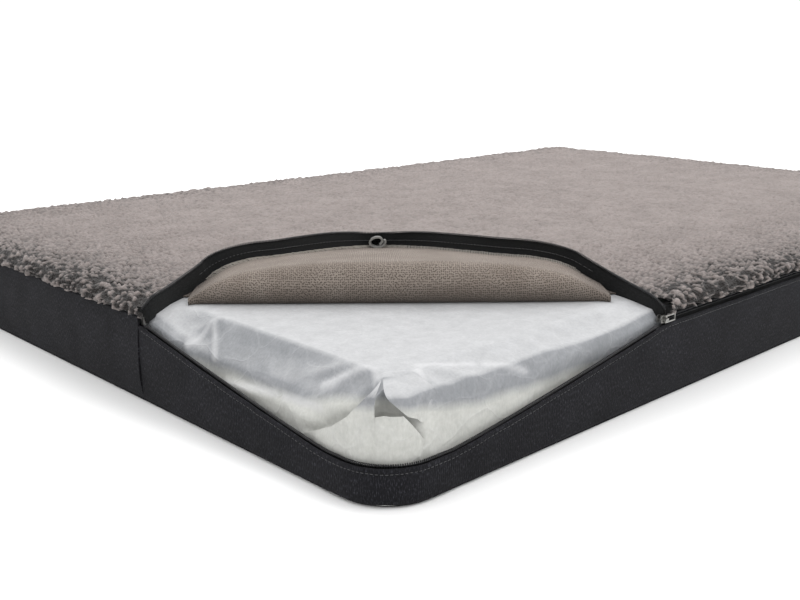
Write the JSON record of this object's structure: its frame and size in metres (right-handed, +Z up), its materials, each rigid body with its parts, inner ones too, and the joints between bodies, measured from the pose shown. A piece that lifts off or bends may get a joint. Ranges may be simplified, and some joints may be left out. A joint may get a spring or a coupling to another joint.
{
  "type": "kneeling pad",
  "caption": "Large padded floor mat: layered foam core in a non-woven liner, zip-off cover with sherpa top and woven side band, one corner unzipped and folded back.",
  "frame": {"origin": "middle of the underside, on the surface the mat lies on", "axes": "+X along the long side that carries the zip, away from the open corner; +Y from that side to the opposite long side; +Z up"},
  "size_m": [1.2, 0.8022, 0.12],
  "materials": {
    "sherpa_pile": "curled sherpa pile",
    "knit_backing": "fine knit mesh",
    "band_fabric": "matt plain weave",
    "zip_tape": "woven tape",
    "zip_coil": "satin",
    "zip_metal": "dull plated",
    "overlock_thread": "spun thread",
    "label_ribbon": "satin ribbon",
    "liner": "spun-bonded non-woven",
    "foam_white": "open-cell foam",
    "foam_cream": "open-cell foam"
  },
  "bodies": {
    "cover_and_core": {"bottom_panel": "band_fabric", "support_foam": "foam_cream", "comfort_foam": "foam_white", "liner_bottom_sheet": "liner", "liner_side_wall": "liner", "liner_top_sheet": "liner", "liner_corner_fold": "liner", "side_band_open_stretch": "band_fabric", "side_band_front": "band_fabric", "side_band_front_right_corner": "band_fabric", "side_band_right_zipped": "band_fabric", "side_band_right": "band_fabric", "side_band_back_right_corner": "band_fabric", "side_band_back": "band_fabric", "side_band_back_left_corner": "band_fabric", "side_band_left": "band_fabric", "side_band_seam_allowance": "band_fabric", "top_panel_knit_backing": "knit_backing", "top_panel_sherpa_pile": "sherpa_pile", "closed_zip_tape_lower": "zip_tape", "closed_zip_tape_upper": "zip_tape", "closed_zip_coil_lower": "zip_coil", "closed_zip_coil_upper": "zip_coil", "zip_stop_far": "zip_metal", "zip_stop_near": "zip_metal"},
    "fold_roll": {"fold_knit_backing": "knit_backing", "fold_sherpa_pile": "sherpa_pile"},
    "corner_flap": {"flap_knit_backing": "knit_backing", "flap_sherpa_pile": "sherpa_pile", "flap_zip_tape": "zip_tape", "flap_zip_coil": "zip_coil", "flap_overlock_edge": "overlock_thread", "flap_label_loop": "label_ribbon"},
    "mouth_edge": {"mouth_zip_tape": "zip_tape", "mouth_zip_coil": "zip_coil"},
    "slider": {"zip_slider": "zip_metal"},
    "pull_tab": {"zip_pull_tab": "zip_metal"}
  },
  "joints": [
    {"name": "fold_foot", "type": "hinge", "parent": "cover_and_core", "child": "fold_roll", "pos_m": [-0.42757, -0.24118, 0.0782], "axis": [0.7412, -0.6713, 0], "range_deg": [0, 90]},
    {"name": "fold_crest", "type": "hinge", "parent": "fold_roll", "child": "corner_flap", "pos_m": [-0.42757, -0.24118, 0.1128], "axis": [0.7412, -0.6713, 0], "range_deg": [0, 95]},
    {"name": "mouth_edge_lift", "type": "hinge", "parent": "cover_and_core", "child": "mouth_edge", "pos_m": [-0.441, -0.256, 0.057], "axis": [-0.7412, 0.6713, 0], "range_deg": [0, 10]},
    {"name": "slider_travel", "type": "slide", "parent": "cover_and_core", "child": "slider", "axis": [1, 0, 0], "range_m": [0, 0.84]},
    {"name": "pull_tab_swing", "type": "hinge", "parent": "slider", "child": "pull_tab", "pos_m": [-0.287, -0.4003, 0.07], "axis": [0, 0, -1], "range_deg": [0, 170]}
  ],
  "couplings": [
    {"joint": "fold_crest", "follows": "fold_foot", "ratio": 1.0555}
  ]
}
